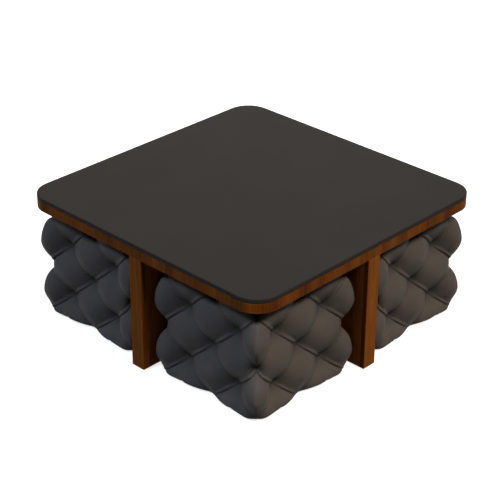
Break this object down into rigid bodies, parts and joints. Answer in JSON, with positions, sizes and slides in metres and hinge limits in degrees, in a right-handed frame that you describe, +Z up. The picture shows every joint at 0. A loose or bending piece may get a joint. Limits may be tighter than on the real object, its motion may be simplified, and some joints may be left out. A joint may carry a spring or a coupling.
{
  "type": "center table with tufted poufs",
  "caption": "Square low table with a dark rounded top edged in walnut, on crossed upright panels, with diamond-tufted cube poufs that pull out of its open bays.",
  "frame": {"origin": "the middle of the footprint on the floor", "axes": "+Z up, +X to the right and +Y to the back of a table whose sides lie along X and Y; the picture looks from the front right corner"},
  "size_m": [1.05, 1.05, 0.45],
  "materials": {
    "charcoal_laminate": "matte",
    "raw_board": "matte",
    "walnut": "satin",
    "plywood": "matte",
    "leatherette": "satin",
    "black_cloth": "matte",
    "zinc_steel": "satin",
    "nylon": "matte"
  },
  "bodies": {
    "table": {"top_panel": "charcoal_laminate", "core_board": "raw_board", "edge_strip_front": "walnut", "edge_strip_right": "walnut", "edge_strip_back": "walnut", "edge_strip_left": "walnut", "corner_strip_front_right": "walnut", "corner_strip_back_right": "walnut", "corner_strip_back_left": "walnut", "corner_strip_front_left": "walnut", "cross_panel_lower": "walnut", "cross_panel_upper": "walnut", "leg_facing_front": "walnut", "leg_facing_right": "walnut", "leg_facing_back": "walnut", "leg_facing_left": "walnut", "bracket_front": "zinc_steel", "bracket_right": "zinc_steel", "bracket_back": "zinc_steel", "bracket_left": "zinc_steel", "glide_front": "nylon", "glide_right": "nylon", "glide_back": "nylon", "glide_left": "nylon"},
    "pouf_front_right": {"pouf_front_right_cover": "leatherette", "pouf_front_right_carcass": "plywood", "pouf_front_right_seat_board": "plywood", "pouf_front_right_base_board": "plywood", "pouf_front_right_dust_cover": "black_cloth", "pouf_front_right_foot_front_right": "nylon", "pouf_front_right_foot_back_right": "nylon", "pouf_front_right_foot_back_left": "nylon", "pouf_front_right_foot_front_left": "nylon"},
    "pouf_back_right": {"pouf_back_right_cover": "leatherette", "pouf_back_right_carcass": "plywood", "pouf_back_right_seat_board": "plywood", "pouf_back_right_base_board": "plywood", "pouf_back_right_dust_cover": "black_cloth", "pouf_back_right_foot_front_right": "nylon", "pouf_back_right_foot_back_right": "nylon", "pouf_back_right_foot_back_left": "nylon", "pouf_back_right_foot_front_left": "nylon"},
    "pouf_back_left": {"pouf_back_left_cover": "leatherette", "pouf_back_left_carcass": "plywood", "pouf_back_left_seat_board": "plywood", "pouf_back_left_base_board": "plywood", "pouf_back_left_dust_cover": "black_cloth", "pouf_back_left_foot_front_right": "nylon", "pouf_back_left_foot_back_right": "nylon", "pouf_back_left_foot_back_left": "nylon", "pouf_back_left_foot_front_left": "nylon"},
    "pouf_front_left": {"pouf_front_left_cover": "leatherette", "pouf_front_left_carcass": "plywood", "pouf_front_left_seat_board": "plywood", "pouf_front_left_base_board": "plywood", "pouf_front_left_dust_cover": "black_cloth", "pouf_front_left_foot_front_right": "nylon", "pouf_front_left_foot_back_right": "nylon", "pouf_front_left_foot_back_left": "nylon", "pouf_front_left_foot_front_left": "nylon"}
  },
  "joints": [
    {"name": "pouf_front_right_slide", "type": "slide", "parent": "table", "child": "pouf_front_right", "axis": [0.7071, -0.7071, 0], "range_m": [0, 0.7]},
    {"name": "pouf_back_right_slide", "type": "slide", "parent": "table", "child": "pouf_back_right", "axis": [0.7071, 0.7071, 0], "range_m": [0, 0.7]},
    {"name": "pouf_back_left_slide", "type": "slide", "parent": "table", "child": "pouf_back_left", "axis": [-0.7071, 0.7071, 0], "range_m": [0, 0.7]},
    {"name": "pouf_front_left_slide", "type": "slide", "parent": "table", "child": "pouf_front_left", "axis": [-0.7071, -0.7071, 0], "range_m": [0, 0.7]}
  ]
}
